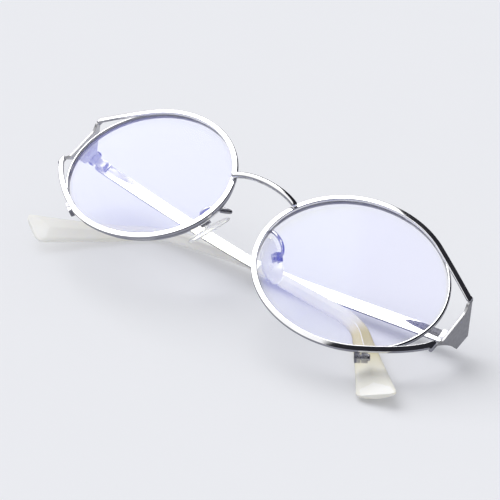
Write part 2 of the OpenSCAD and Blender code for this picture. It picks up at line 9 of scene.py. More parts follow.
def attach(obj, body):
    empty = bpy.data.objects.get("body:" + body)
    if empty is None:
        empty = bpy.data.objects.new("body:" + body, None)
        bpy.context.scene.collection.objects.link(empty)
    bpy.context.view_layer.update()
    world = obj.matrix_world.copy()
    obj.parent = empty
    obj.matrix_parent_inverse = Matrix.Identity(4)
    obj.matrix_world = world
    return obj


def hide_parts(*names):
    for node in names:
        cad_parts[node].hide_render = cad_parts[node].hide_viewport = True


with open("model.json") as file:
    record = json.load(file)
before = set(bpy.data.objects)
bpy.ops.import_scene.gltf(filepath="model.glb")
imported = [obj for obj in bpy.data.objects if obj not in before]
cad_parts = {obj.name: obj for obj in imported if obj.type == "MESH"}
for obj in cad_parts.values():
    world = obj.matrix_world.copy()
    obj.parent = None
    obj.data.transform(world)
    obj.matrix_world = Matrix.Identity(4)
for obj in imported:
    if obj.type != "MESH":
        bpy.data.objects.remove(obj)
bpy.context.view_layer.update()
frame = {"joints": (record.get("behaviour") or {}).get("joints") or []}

# The front, as worn: X to the wearer's left, Y up, Z forward, in millimetres from the middle of the nose.
# Both hinge pins stand upright in it, so their places on the table say where the whole front lies.
pins = {joint["name"]: joint for joint in frame["joints"]}
right_pin = Vector(pins["right_temple_hinge"]["pos_m"])
left_pin = Vector(pins["left_temple_hinge"]["pos_m"])
lens_pitch = 72.6
wrap = 7
corner_out, corner_up, corner_down = 30.8, 11.0, 5.9
dome = 150.0
plate_t, plate_len, plate_splay = 1.0, 10.9, 3.0
hinge_y, hinge_in, hinge_back = 4.0, 1.3, 0.6


def move(x, y, z):
    return Matrix.Translation((x, y, z))


def turn(angle, axis):
    return Matrix.Rotation(radians(angle), 4, axis)


def mirrored(side):
    return Matrix.Diagonal((side, 1, 1, 1))


def on_front(x, y, depth):
    return Vector((x, y, sqrt(dome * dome - x * x - y * y) - dome - depth))


lens_place = move(lens_pitch / 2, 0, -lens_pitch / 2 * tan(radians(wrap))) @ turn(wrap, "Y")
corner_x = (lens_place @ on_front(corner_out, (corner_up - corner_down) / 2, 0)).x
corner_z = (lens_place @ on_front(corner_out, corner_up, 0)).z
plate_place = move(corner_x, 0, corner_z) @ turn(90 - plate_splay, "Y")
pin_place = plate_place @ move(plate_len - hinge_back, hinge_y, -plate_t / 2 - hinge_in)
pin_point = pin_place.translation.copy()

front_x = (left_pin - right_pin).normalized()
front_y = Vector(pins["right_temple_hinge"]["axis"]).normalized()
front_z = front_x.cross(front_y)
MM = 0.001
front_origin = (left_pin + right_pin) / 2 - (front_y * pin_point.y + front_z * pin_point.z) * MM
front = Matrix.Translation(front_origin) @ Matrix((front_x, front_y, front_z)).transposed().to_4x4()
front = front @ Matrix.Scale(MM, 4)
SIDES = {"right": -1, "left": 1}


# The lenses: two domed blanks of clear plastic, ground with a bevel round the edge that snaps into the rim's
# groove. The coating throws blue light back, so dark things behind the lens look blue and pale ones stay
# pale. Its blue reflex and tint are painted weaker towards the outer upper side of the left lens, a painted
# reflection of the bright side of the room, and the ground edge has none.
rim_w, rim_h, rim_turn = 55.0, 46.6, 4.6
rim_face, rim_depth, groove = 1.1, 2.2, 0.5
bow_t, braze = 0.9, 0.06
lens_t, seat_gap = 1.6, 0.03
rim_front = bow_t - braze
rim_back = rim_front + rim_depth
groove_at = (rim_front + rim_back) / 2
groove_half = lens_t / 3


def oval(angle, grow=0.0):
    a = radians(angle)
    out = Vector((rim_h * cos(a), rim_w * sin(a))).normalized() * grow
    x, y = rim_w / 2 * cos(a) + out.x, rim_h / 2 * sin(a) + out.y
    c, s = cos(radians(rim_turn)), sin(radians(rim_turn))
    return Vector((x * c - y * s, x * s + y * c))


def placed(name, data):
    made = bpy.data.objects.new(name, data)
    bpy.context.scene.collection.objects.link(made)
    return made


def smoothed(mesh, angle):
    mesh.shade_smooth()
    mesh.set_sharp_from_angle(angle=radians(angle))


def piece(name, mesh, material, smooth=35):
    smoothed(mesh, smooth)
    mesh.materials.clear()
    mesh.materials.append(material)
    return placed(name, mesh)


def skin(name, loops, place, tips=None):
    """A closed mesh through a row of loops, with each end fanned to a tip or closed flat."""
    n = len(loops[0])
    points = [place @ Vector(p) for loop in loops for p in loop]
    faces = []
    for i in range(len(loops) - 1):
        for j in range(n):
            k = (j + 1) % n
            faces.append((i * n + j, i * n + k, (i + 1) * n + k, (i + 1) * n + j))
    last = (len(loops) - 1) * n
    if tips:
        points += [place @ Vector(p) for p in tips]
        for j in range(n):
            k = (j + 1) % n
            faces.append((len(points) - 2, k, j))
            faces.append((len(points) - 1, last + j, last + k))
    else:
        faces.append(tuple(reversed(range(n))))
        faces.append(tuple(range(last, last + n)))
    mesh = bpy.data.meshes.new(name)
    mesh.from_pydata(points, [], faces)
    shell = bmesh.new()
    shell.from_mesh(mesh)
    bmesh.ops.recalc_face_normals(shell, faces=shell.faces)
    shell.to_mesh(mesh)
    shell.free()
    return mesh


def mark(mesh, name, values):
    mesh.attributes.new(name, "FLOAT", "POINT").data.foreach_set("value", values)


def new_material(name):
    made = bpy.data.materials.new(name)
    made.use_nodes = True
    return made, made.node_tree.nodes, made.node_tree.links


def noise(nodes, links, scale, detail=2, stretch=None):
    """Noise on the object's own coordinates, finer along some axes where a stretch is given."""
    where, made = nodes.new("ShaderNodeTexCoord"), nodes.new("ShaderNodeTexNoise")
    made.inputs["Scale"].default_value = scale
    made.inputs["Detail"].default_value = detail
    place = where.outputs["Object"]
    if stretch:
        drawn_out = nodes.new("ShaderNodeMapping")
        drawn_out.inputs["Scale"].default_value = stretch
        links.new(place, drawn_out.inputs["Vector"])
        place = drawn_out.outputs["Vector"]
    links.new(place, made.inputs["Vector"])
    return made.outputs["Fac"]


def ranged(nodes, links, value, low, high, start=0.0, stop=1.0, kind="LINEAR"):
    """The value's run from start to stop, moved to run from low to high."""
    made = nodes.new("ShaderNodeMapRange")
    made.interpolation_type = kind
    for label, number in (("From Min", start), ("From Max", stop), ("To Min", low), ("To Max", high)):
        made.inputs[label].default_value = number
    links.new(value, made.inputs["Value"])
    return made.outputs["Result"]


def ramp(nodes, links, value, *stops):
    """Colours along the value, each given with its place."""
    made = nodes.new("ShaderNodeValToRGB")
    elements = made.color_ramp.elements
    for i, (at, colour) in enumerate(stops):
        stop = elements[i] if i < 2 else elements.new(at)
        stop.position = at
        stop.color = (*colour, 1)
    links.new(value, made.inputs["Fac"])
    return made.outputs["Color"]


def maths(nodes, links, kind, *values):
    made = nodes.new("ShaderNodeMath")
    made.operation = kind
    for socket, value in zip(made.inputs, values):
        if isinstance(value, float):
            socket.default_value = value
        else:
            links.new(value, socket)
    return made.outputs["Value"]


def along(nodes, links, place, way):
    made = nodes.new("ShaderNodeVectorMath")
    made.operation = "DOT_PRODUCT"
    made.inputs[1].default_value = way
    links.new(place, made.inputs[0])
    return made.outputs["Value"]


def own_value(nodes, name):
    made = nodes.new("ShaderNodeAttribute")
    made.attribute_name = name
    return made.outputs["Fac"]


def mixed(nodes, links, share, first, second, output):
    made = nodes.new("ShaderNodeMixShader")
    links.new(share, made.inputs["Fac"])
    links.new(first, made.inputs[1])
    links.new(second, made.inputs[2])
    links.new(made.outputs["Shader"], nodes[output].inputs["Surface"])


def let_light_through(nodes, links, surface, colour, share=None):
    """Light that goes on to other surfaces passes the piece, so its shadow is pale."""
    rays, passing = nodes.new("ShaderNodeLightPath"), nodes.new("ShaderNodeBsdfTransparent")
    passing.inputs["Color"].default_value = (*colour, 1)
    lighting = maths(nodes, links, "MAXIMUM", rays.outputs["Is Shadow Ray"], rays.outputs["Is Diffuse Ray"])
    if share is not None:
        lighting = maths(nodes, links, "MULTIPLY", lighting, share)
    mixed(nodes, links, lighting, surface, passing.outputs["BSDF"], "Material Output")


# Painted reflection: the coating's blue reflex and tint fade along this way across the lens, standing in for
# the bright side of the room that the lens reflects.
reflex_fade_way, reflex_fade_from, reflex_fade_to, reflex_fade_end = (0.8816, 0.4519, 0.1366), 0.031, 0.041, 0.5
lens_clear, nodes, links = new_material("coated_lens")
glass = nodes["Principled BSDF"]
glass.inputs["Transmission Weight"].default_value = 1.0
glass.inputs["IOR"].default_value = 1.08
glass.inputs["Specular Tint"].default_value = (0.3, 0.3, 0.45, 1)
haze = noise(nodes, links, 60, 4)
links.new(ranged(nodes, links, haze, 0.0, 0.02, 0.45, 0.8), glass.inputs["Roughness"])
where = nodes.new("ShaderNodeTexCoord")
aside = along(nodes, links, where.outputs["Object"], reflex_fade_way)
painted_reflex_fade = ranged(nodes, links, aside, 0.0, reflex_fade_end, reflex_fade_from, reflex_fade_to, "SMOOTHSTEP")
# Either the painted fade or the bare ground edge takes the blue reflex and tint away.
clear = maths(nodes, links, "MAXIMUM", painted_reflex_fade, own_value(nodes, "bare_edge"))
passed = ramp(nodes, links, clear, (0, (0.95, 0.952, 0.67)), (reflex_fade_end, (0.97, 0.97, 0.98)))
links.new(passed, glass.inputs["Base Color"])
reflex = ramp(nodes, links, clear, (0, (0.046, 0.052, 0.27)), (reflex_fade_end, (0.022, 0.024, 0.085)),
              (0.8, (0.002, 0.002, 0.006)))
bloom = nodes.new("ShaderNodeBsdfDiffuse")
links.new(reflex, bloom.inputs["Color"])
coated = nodes.new("ShaderNodeAddShader")
links.new(glass.outputs["BSDF"], coated.inputs[0])
links.new(bloom.outputs["BSDF"], coated.inputs[1])
let_light_through(nodes, links, coated.outputs["Shader"], (0.965, 0.965, 0.975))

LENS_STEPS = 144
lens_edge = -rim_face / 2 - seat_gap
bevel_edge = lens_edge + groove - seat_gap
lens_front, lens_back = groove_at - lens_t / 2, groove_at + lens_t / 2
SHARES = (0.12, 0.25, 0.4, 0.55, 0.7, 0.85, 0.94, 1)
lens_rings = [(share, lens_edge, lens_front) for share in SHARES]
lens_rings += [(1, lens_edge, groove_at - groove_half), (1, bevel_edge, groove_at)]
lens_rings += [(1, lens_edge, groove_at + groove_half)]
lens_rings += [(share, lens_edge, lens_back) for share in reversed(SHARES)]
for name, side in SIDES.items():
    loops = [[on_front(*(oval(360 * i / LENS_STEPS, grow) * share), depth) for i in range(LENS_STEPS)]
             for share, grow, depth in lens_rings]
    tips = [on_front(0, 0, lens_front), on_front(0, 0, lens_back)]
    mesh = skin("lens_blank_" + name, loops, front @ mirrored(side) @ lens_place, tips)
    on_edge = [float(share == 1) for share, grow, depth in lens_rings for _ in range(LENS_STEPS)]
    mark(mesh, "bare_edge", on_edge + [0.0, 0.0])
    lens = piece("lens_blank_" + name, mesh, lens_clear)
    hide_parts("lens_" + name)
    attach(lens, "front")


# The eyewires: drawn channel wire bent round each lens, its V groove inward, and cut once behind the outer
# lower edge so that it opens for the lens. Polished with the rest of the front; the inner wall is given a
# dull grey finish instead, a painted reflection of the dim room it shows.
def metal_finish(name, metallic, grain, dark, bright, roughness, stops=(0.3, 0.7), wear=(0.0, 1.0)):
    """A metal whose shade and polish wander with one fine noise."""
    made, nodes, links = new_material(name)
    metal = nodes["Principled BSDF"]
    metal.inputs["Metallic"].default_value = metallic
    value = noise(nodes, links, *grain)
    shade = ramp(nodes, links, value, (stops[0], dark), (stops[1], bright))
    links.new(shade, metal.inputs["Base Color"])
    links.new(ranged(nodes, links, value, *roughness, *wear), metal.inputs["Roughness"])
    return made


polished = metal_finish("mirror_polished_silver", 1.0, (220, 5), (0.80, 0.80, 0.825), (0.90, 0.90, 0.915),
                        (0.04, 0.11), wear=(0.3, 0.75))
nodes, links = polished.node_tree.nodes, polished.node_tree.links
swirl = nodes.new("ShaderNodeBump")
swirl.inputs["Strength"].default_value = 0.02
swirl.inputs["Distance"].default_value = 0.00002
links.new(noise(nodes, links, 3000), swirl.inputs["Height"])
links.new(swirl.outputs["Normal"], nodes["Principled BSDF"].inputs["Normal"])
# Painted reflection: a dull grey finish for the eyewires' inner wall, standing in for the grey it reflects.
drawn = metal_finish("inner_wall_painted_grey", 0.25, (600, 3), (0.31, 0.31, 0.325), (0.43, 0.43, 0.445),
                     (0.25, 0.45), stops=(0.0, 1.0))


CORNER_SHARE = 0.45


def rounded(points, radius, steps=3):
    """The outline with each corner turned into a short curve."""
    out = []
    for i, p in enumerate(points):
        p, a, b = Vector(p), Vector(points[i - 1]), Vector(points[(i + 1) % len(points)])
        r = radius[i] if isinstance(radius, (list, tuple)) else radius
        r = min(r, (a - p).length * CORNER_SHARE, (b - p).length * CORNER_SHARE)
        start, end = p + (a - p).normalized() * r, p + (b - p).normalized() * r
        for k in range(steps + 1):
            t = k / steps
            out.append(start * (1 - t) ** 2 + p * 2 * t * (1 - t) + end * t * t)
    return out


RIM_STEPS, RIM_ROUND_STEPS, INWARD = 216, 10, -0.5
lock_angle, split_gap = 58, 0.2
split = degrees(split_gap / 2 / (rim_w / 2))
rim_round, rim_out, rim_soft = 0.42, 0.3, 0.14
rim_mid, rim_half = (rim_out - rim_face / 2) / 2, (rim_out + rim_face / 2) / 2
rim_shoulder = ((rim_out, 0.9), (0.1, 1.4), (-0.15, 1.8), (-0.35, rim_depth))
rim_section = rounded([(out, rim_front + depth) for out, depth in rim_shoulder] + [
    (-rim_face / 2, rim_back), (-rim_face / 2, groove_at + groove_half), (groove - rim_face / 2, groove_at),
    (-rim_face / 2, groove_at - groove_half)
], rim_soft)[:-3]
for i in range(RIM_ROUND_STEPS + 1):
    a = pi * i / RIM_ROUND_STEPS
    rim_section.append(Vector((rim_mid - rim_half * cos(a), rim_front + rim_round * (1 - sin(a)))))
for name, side in SIDES.items():
    place = front @ mirrored(side) @ lens_place
    loops = []
    for i in range(RIM_STEPS + 1):
        angle = -lock_angle + split + (360 - 2 * split) * i / RIM_STEPS
        loops.append([on_front(*oval(angle, s.x), s.y) for s in rim_section])
    rim = piece("rim_wire_" + name, skin("rim_wire_" + name, loops, place), polished)
    rim.data.materials.append(drawn)
    unlaid = place.inverted()
    # Faces turned in towards the lens take the dull grey painted-reflection finish.
    for face in rim.data.polygons:
        at, way = unlaid @ face.center, (unlaid.to_3x3() @ face.normal).normalized()
        face.material_index = int(way.xy.dot(at.xy.normalized()) < INWARD)
    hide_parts("eyewire_" + name)
    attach(rim, "front")


# The bows: a flat band brazed on the front of each eyewire. Its ends leave the oval as two arms, and each arm
# is folded back round the outer corner to meet the endpiece.
bow_face, band_front_round, band_back_round = 1.6, 0.3, 0.1
low_arm_sweep, low_arm_pull, fold_room = 12, 0.65, 0.3
BOW_STEPS, ARM_STEPS, TOP_STEPS, FOLD_STEPS = 180, 14, 6, 6


def tangent_angle(x, y, way):
    c, s = cos(radians(rim_turn)), sin(radians(rim_turn))
    u, v = (x * c + y * s) / (rim_w / 2), (y * c - x * s) / (rim_h / 2)
    return degrees(atan2(v, u) + way * acos(1 / hypot(u, v)))


def bezier(points, t):
    while len(points) > 1:
        points = [a.lerp(b, t) for a, b in zip(points, points[1:])]
    return points[0]


corner_top, corner_low = Vector((corner_out, corner_up)), Vector((corner_out, -corner_down))
leave_top = tangent_angle(*corner_top, 1)
leave_low = tangent_angle(*corner_low, -1) - low_arm_sweep
arm_foot = oval(leave_low)
arm_way = (oval(leave_low + 1) - oval(leave_low - 1)).normalized()
low_arm = [corner_low, arm_foot + arm_way * (corner_low - arm_foot).length * low_arm_pull, arm_foot]
bow_path = [bezier(low_arm, i / ARM_STEPS) for i in range(ARM_STEPS)]
bow_path += [oval(leave_low + (leave_top - 360 - leave_low) * i / BOW_STEPS) for i in range(BOW_STEPS + 1)]
bow_path += [bow_path[-1].lerp(corner_top, i / TOP_STEPS) for i in range(1, TOP_STEPS + 1)]
band = rounded([(bow_face / 2, 0), (-bow_face / 2, 0), (-bow_face / 2, bow_t), (bow_face / 2, bow_t)],
               [band_front_round] * 2 + [band_back_round] * 2, 4)
fold_x = corner_out + plate_t / 2 - bow_t


def folded_end(way, corner, before):
    """Loops that carry the end of an arm upright to the fold and round the corner."""
    t = (corner - before).normalized()
    n = Vector((t.y, -t.x)) * way
    upright = []
    for s in band:
        p = corner + n * s.x
        p = p + t * (fold_x - p.x) / t.x
        upright.append(on_front(p.x, p.y, s.y))
    axis_z = on_front(fold_x, corner.y, bow_t).z
    out = [upright]
    for k in range(1, FOLD_STEPS + 1):
        a = radians(90 * k / FOLD_STEPS)
        loop = []
        for q in upright:
            r = q.z - axis_z
            loop.append(Vector((fold_x + r * sin(a), q.y, axis_z + r * cos(a))))
        out.append(loop)
    out.append([Vector((q.x, q.y, q.z - bow_t)) for q in out[-1]])
    return out


band_loops = []
for i, p in enumerate(bow_path):
    t = (bow_path[min(i + 1, len(bow_path) - 1)] - bow_path[max(i - 1, 0)]).normalized()
    n = Vector((t.y, -t.x))
    loop = [on_front(*(p + n * s.x), s.y) for s in band]
    if max(q.x for q in loop) < fold_x - fold_room:
        band_loops.append(loop)
band_loops = folded_end(-1, corner_low, bow_path[2])[::-1] + band_loops
band_loops += folded_end(1, corner_top, bow_path[-3])
for name, side in SIDES.items():
    mesh = skin("front_bow_" + name, band_loops, front @ mirrored(side) @ lens_place)
    bow = piece("front_bow_" + name, mesh, polished)
    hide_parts("bow_" + name)
    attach(bow, "front")


# The bridge: one round wire, arched up and forward over the nose, with rounded ends brazed on the bows.
# Round wires here are swept by one node tree along a path, whose points may carry a thinner girth.
def wire_tree():
    tree = bpy.data.node_groups.new("wire_along_path", "GeometryNodeTree")
    socket = tree.interface.new_socket
    socket("Path", in_out="INPUT", socket_type="NodeSocketGeometry")
    diameter = socket("Wire diameter", in_out="INPUT", socket_type="NodeSocketFloat")
    sides = socket("Sides", in_out="INPUT", socket_type="NodeSocketInt")
    finish = socket("Finish", in_out="INPUT", socket_type="NodeSocketMaterial")
    socket("Wire", in_out="OUTPUT", socket_type="NodeSocketGeometry")
    put, link = tree.nodes.new, tree.links.new
    given, made = put("NodeGroupInput"), put("NodeGroupOutput")
    curve, girth = put("GeometryNodeMeshToCurve"), put("GeometryNodeInputNamedAttribute")
    girth.inputs["Name"].default_value = "girth"
    half = put("ShaderNodeMath")
    half.operation = "DIVIDE"
    half.inputs[1].default_value = 2
    circle = put("GeometryNodeCurvePrimitiveCircle")
    sweep = put("GeometryNodeCurveToMesh")
    sweep.inputs["Fill Caps"].default_value = True
    real, paint = put("GeometryNodeRealizeInstances"), put("GeometryNodeSetMaterial")
    link(given.outputs["Path"], curve.inputs[0])
    link(given.outputs["Wire diameter"], half.inputs[0])
    link(half.outputs[0], circle.inputs["Radius"])
    link(given.outputs["Sides"], circle.inputs["Resolution"])
    link(curve.outputs[0], sweep.inputs["Curve"])
    link(circle.outputs[0], sweep.inputs["Profile Curve"])
    link(girth.outputs[0], sweep.inputs["Scale"])
    link(sweep.outputs[0], real.inputs[0])
    link(real.outputs[0], paint.inputs["Geometry"])
    link(given.outputs["Finish"], paint.inputs["Material"])
    link(paint.outputs[0], made.inputs[0])
    return tree, diameter.identifier, sides.identifier, finish.identifier


WIRE, WIRE_D, WIRE_SIDES, WIRE_FINISH = wire_tree()
WIRE_ROUND = 24


def settled(made):
    """The object with its modifiers worked into a plain mesh."""
    bpy.context.view_layer.update()
    mesh = bpy.data.meshes.new_from_object(made.evaluated_get(bpy.context.evaluated_depsgraph_get()))
    made.modifiers.clear()
    made.data = mesh
    return made


def wire(name, path, place, diameter, finish, girths=None):
    mesh = bpy.data.meshes.new(name)
    mesh.from_pydata([place @ p for p in path], [(i, i + 1) for i in range(len(path) - 1)], [])
    mark(mesh, "girth", girths or [1.0] * len(path))
    made = placed(name, mesh)
    sweep = made.modifiers.new("sweep", "NODES")
    sweep.node_group = WIRE
    sweep[WIRE_D] = diameter * MM
    sweep[WIRE_SIDES] = WIRE_ROUND
    sweep[WIRE_FINISH] = finish
    settled(made)
    smoothed(made.data, 50)
    return made


bridge_d, bridge_y, bridge_rise, bridge_front, bridge_sink = 1.8, 9.0, 1.7, 1.7, 0.25
round_to, round_back, round_room = 88, 0.55, 0.6
BRIDGE_STEPS, ROUND_STEPS = 48, 6
foot = oval(180 - degrees(asin(bridge_y / (rim_h / 2))) - rim_turn)
end = lens_place @ on_front(foot.x, foot.y, bridge_sink - bridge_d / 2)
rise = Vector((0, bridge_rise, bridge_front)) * 4 / 3
inner = Vector((end.x / 2, end.y, end.z)) + rise
arch = [end, inner, Vector((-inner.x, inner.y, inner.z)), Vector((-end.x, end.y, end.z))]
run = [bezier(arch, i / BRIDGE_STEPS) for i in range(BRIDGE_STEPS + 1)]
out_way = (run[0] - run[1]).normalized()
path, girths = [], []
for k in range(ROUND_STEPS, 0, -1):
    a = radians(round_to * k / ROUND_STEPS)
    path.append(run[0] + out_way * bridge_d / 2 * (sin(a) - round_back))
    girths.append(cos(a))
body = [p for p in run if min((p - run[0]).length, (p - run[-1]).length) > round_room]
path += body
girths += [1.0] * len(body)
for k in range(1, ROUND_STEPS + 1):
    q = path[ROUND_STEPS - k]
    path.append(Vector((-q.x, q.y, q.z)))
    girths.append(girths[ROUND_STEPS - k])
bridge = wire("bridge_wire", path, front, bridge_d, polished, girths)
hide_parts("bridge")
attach(bridge, "front")


# The endpieces: stamped plates that stand back from the bow's two corners, with a trapezoid dip between the
# corners, narrowing to the hinge. Edges are tumbled smooth, and the inside is plated like the hinges.
def bevelled(mesh, width, material, name, steps=3):
    made = piece(name, mesh, material)
    soft = made.modifiers.new("soft_edges", "BEVEL")
    soft.width = width * MM
    soft.segments = steps
    soft.limit_method = "ANGLE"
    soft.angle_limit = radians(30)
    settled(made)
    smoothed(made.data, 40)
    return made


def prism(name, outline, low, high, place):
    """A flat outline drawn out from low to high along the place's Z."""
    return skin(name, [[(p[0], p[1], z) for p in outline] for z in (low, high)], place)


stamped = metal_finish("stamped_silver", 0.55, (1100, 4), (0.42, 0.42, 0.435), (0.5, 0.5, 0.515),
                       (0.14, 0.28))
plated = metal_finish("plated_steel", 0.3, (1100, 4), (0.82, 0.82, 0.835), (0.9, 0.9, 0.915), (0.14, 0.28))
mid_barrel, end_barrel, side_gap, plate_margin = 1.4, 1.1, 0.08, 0.8
hinge_h = mid_barrel + 2 * end_barrel + 2 * side_gap
plate_end = hinge_h / 2 + plate_margin
dip_depth, dip_start, dip_lip, dip_round = 2.3, 0.9, 0.6, 0.9
tab, tab_start, tab_soft, tab_foot = 1.28, 0.75, 0.1, 0.5
low_sag, plate_soft = 0.75, 0.16
EDGE_STEPS, FACING_IN = 16, -0.6
plate_top, plate_low = corner_up + bow_face / 2, -corner_down - bow_face / 2
back_top = Vector((plate_len, hinge_y + plate_end))
back_low = Vector((plate_len - hinge_back / 2, hinge_y - plate_end))
sag = Vector((plate_len / 2, plate_low + (back_low.y - plate_low) * low_sag))
low_edge = [Vector((0, plate_low)), sag, back_low]
top_edge = [back_top, Vector((plate_len / 2, (plate_top + back_top.y) / 2)), Vector((0, plate_top))]
plate_outline = [(tab_start, plate_top - tab_soft), (tab_start, plate_top - tab - tab_foot)]
plate_outline += rounded([
    (dip_start, plate_top - tab - dip_lip), (dip_depth, plate_top - tab - dip_depth),
    (dip_depth, plate_low + tab + dip_depth), (dip_start, plate_low + tab + dip_lip)
], dip_round, 5)[3:-3]
plate_outline += [(tab_start, plate_low + tab + tab_foot), (tab_start, plate_low + tab_soft)]
plate_outline += [bezier(low_edge, i / EDGE_STEPS) for i in range(2, EDGE_STEPS + 1)]
plate_outline += [bezier(top_edge, i / EDGE_STEPS) for i in range(EDGE_STEPS - 1)]
for name, side in SIDES.items():
    mesh = prism("endpiece_plate_" + name, plate_outline, -plate_t / 2, plate_t / 2,
                 front @ mirrored(side) @ plate_place)
    plate = bevelled(mesh, plate_soft, stamped, "endpiece_plate_" + name)
    plate.data.materials.append(plated)
    unlaid = front.inverted().to_3x3()
    for face in plate.data.polygons:
        face.material_index = int((unlaid @ face.normal).normalized().x * side < FACING_IN)
    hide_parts("endpiece_" + name)
    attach(plate, "front")


# The hinges: each front leaf is a milled block brazed inside the endpiece, with an upper and a lower barrel,
# and each temple leaf carries the middle barrel on a neck.
steel = metal_finish("plain_steel", 1.0, (1, 4, (400, 2600, 2600)), (0.42, 0.42, 0.45), (0.58, 0.58, 0.61),
                     (0.16, 0.34), stops=(0.25, 0.75))
barrel_d, hinge_pin, bore_gap, leaf_len, barrel_space = 2.2, 1.2, 0.03, 3.0, 0.4
barrel_r = barrel_d / 2
flush, leaf_soft = 0.02, 0.1
ARC, KNUCKLE_ARC = 40, 30


def joined(kind, first, second):
    """One mesh from two, by union or difference."""
    a, b = placed("a", first), placed("b", second)
    cut = a.modifiers.new("cut", "BOOLEAN")
    cut.operation = kind
    cut.solver = "EXACT"
    cut.object = b
    mesh = settled(a).data
    bpy.data.objects.remove(a)
    bpy.data.objects.remove(b)
    return mesh


def circle(radius, steps=ARC, first=0, last=360):
    """Points round a circle, or along an arc of it with both its ends."""
    count = steps if abs(last - first) >= 360 else steps + 1
    angles = [radians(first + (last - first) * i / steps) for i in range(count)]
    return [(radius * cos(a), radius * sin(a)) for a in angles]


# Outlines lie across the pin: X along the leaf, Y outward, drawn out along the pin
across_pin = Matrix(((1, 0, 0, 0), (0, 0, 1, 0), (0, 1, 0, 0), (0, 0, 0, 1)))
leaf_out = hinge_in + braze
knuckle = [(1 - leaf_len, flush), (1 - leaf_len, leaf_out - flush), (0, leaf_out - flush)]
knuckle += circle(barrel_r, KNUCKLE_ARC, 60, -180)
block_end = -barrel_r - barrel_space
block = [(-leaf_len, 0), (-leaf_len, leaf_out), (block_end, leaf_out), (block_end, 0)]
bore = circle(hinge_pin / 2 + bore_gap)
for name, side in SIDES.items():
    place = front @ mirrored(side) @ pin_place @ across_pin
    mesh = prism("leaf", block, -hinge_h / 2, hinge_h / 2, place)
    for low in (-hinge_h / 2, hinge_h / 2 - end_barrel):
        mesh = joined("UNION", mesh, prism("knuckle", knuckle, low, low + end_barrel, place))
    mesh = joined("DIFFERENCE", mesh, prism("bore", bore, -hinge_h, hinge_h, place))
    leaf = bevelled(mesh, leaf_soft, plated, "front_leaf_" + name, 2)
    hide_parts("front_hinge_leaf_" + name)
    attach(leaf, "front")

fold_at_rest = {"right": 1.0, "left": 4.5}
strip_t, strip_h, strip_end, strip_len, panto = 1.2, 3.8, 2.95, 67.6, 4.2
strip_seen = 0.75
butt_gap, leaf_inset, neck_drop = 0.8, 0.6, 0.4
strip_mid = hinge_in + plate_t - strip_t / 2
strip_inner = strip_mid - strip_t / 2
butt = hinge_back + butt_gap


def temple_place(name):
    return front @ mirrored(SIDES[name]) @ Matrix.Translation(pin_point) @ turn(180 - fold_at_rest[name], "Y")


neck_from, neck_top = butt + leaf_len / 2, hinge_in - neck_drop
neck = [(neck_from, flush), (neck_from, neck_top), (0, neck_top)]
neck += circle(barrel_r, KNUCKLE_ARC, 120, 360)
shoe_end, shoe_top = butt + leaf_len, strip_inner + braze
shoe = [(butt, 0), (shoe_end, 0), (shoe_end, shoe_top), (butt, shoe_top)]
for name in SIDES:
    place = temple_place(name) @ across_pin
    mesh = prism("shoe", shoe, -strip_h / 2 + leaf_inset, strip_h / 2 - leaf_inset, place)
    mesh = joined("UNION", mesh, prism("neck", neck, -mid_barrel / 2, mid_barrel / 2, place))
    mesh = joined("DIFFERENCE", mesh, prism("bore", bore, -hinge_h, hinge_h, place))
    leaf = bevelled(mesh, leaf_soft, plated, "temple_leaf_" + name, 2)
    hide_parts("temple_hinge_leaf_" + name)
    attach(leaf, name + "_temple")


# The temples: flat strips, not quite straight, that narrow towards the ear, with a leaf-shaped bevel ground
# by the hinge. A core wire is drawn out of the end of each strip and runs inside the tip, round the ear bend.
satin = metal_finish("satin_silver", 1.0, (2600, 4), (0.86, 0.86, 0.875), (0.93, 0.93, 0.94), (0.25, 0.3))
# Painted reflection on the hinge bevel: near black on the left and the endpieces' duller grey on the right,
# each set to the brightness that side's bevel shows, though the two bevels are most likely alike.
painted_dark_groove = metal_finish("groove_painted_near_black", 1.0, (1500, 4), (0.05, 0.05, 0.06), (0.09, 0.09, 0.10), (0.12, 0.3))
groove_painted_reflection = {"right": stamped, "left": painted_dark_groove}
bend_at, bend, bend_reach, core_d = 103.2, 39.0, 6.0, 1.1
tip_len, tip_in, tip_curl, tip_solid = 34.0, 14.0, 1.2, 6.0
bevel_r, bevel_depth, bevel_gap, bevel_tilt, bevel_len = 3.6, 0.4, 0.6, 2.0, 13.0
right_sway, left_sway, sway_from, sway_peak, sway_fall = -1.3, 1.5, 48, 78, 40


def sway(name, s):
    """How far the strip is bent out of its straight line, at a distance from the hinge."""
    if name == "right":
        return right_sway * sin(pi * min(s, bend_at) / bend_at)
    if s < sway_peak:
        return left_sway * sin(pi * max(s - sway_from, 0) / (2 * (sway_peak - sway_from))) ** 2
    return left_sway * cos(pi * min(s - sway_peak, sway_fall) / (2 * sway_fall)) ** 2


def temple_at(name, s):
    elbow = Vector((bend_at, 0, 0))
    reach = Vector((cos(radians(bend)), -sin(radians(bend)), 0))
    f = max(0, s - bend_at) / tip_len
    if abs(s - bend_at) < bend_reach:
        flat = bezier([elbow - Vector((bend_reach, 0, 0)), elbow, elbow + reach * bend_reach],
                      (s - bend_at) / bend_reach / 2 + 0.5)
    elif s < bend_at:
        flat = Vector((s, 0, 0))
    else:
        flat = elbow + reach * (s - bend_at)
    flat = flat + Vector((0, sway(name, s), 0))
    return turn(-panto, "Z") @ flat + Vector((0, 0, strip_mid - tip_in * f ** tip_curl))


def across(name, s):
    t = (temple_at(name, s + 0.5) - temple_at(name, s - 0.5)).normalized()
    high = Vector((0, 0, 1)).cross(t).normalized()
    return high, t.cross(high), t


def stations(start, stop, step):
    n = ceil((stop - start) / step)
    return [start + (stop - start) * i / n for i in range(n + 1)]


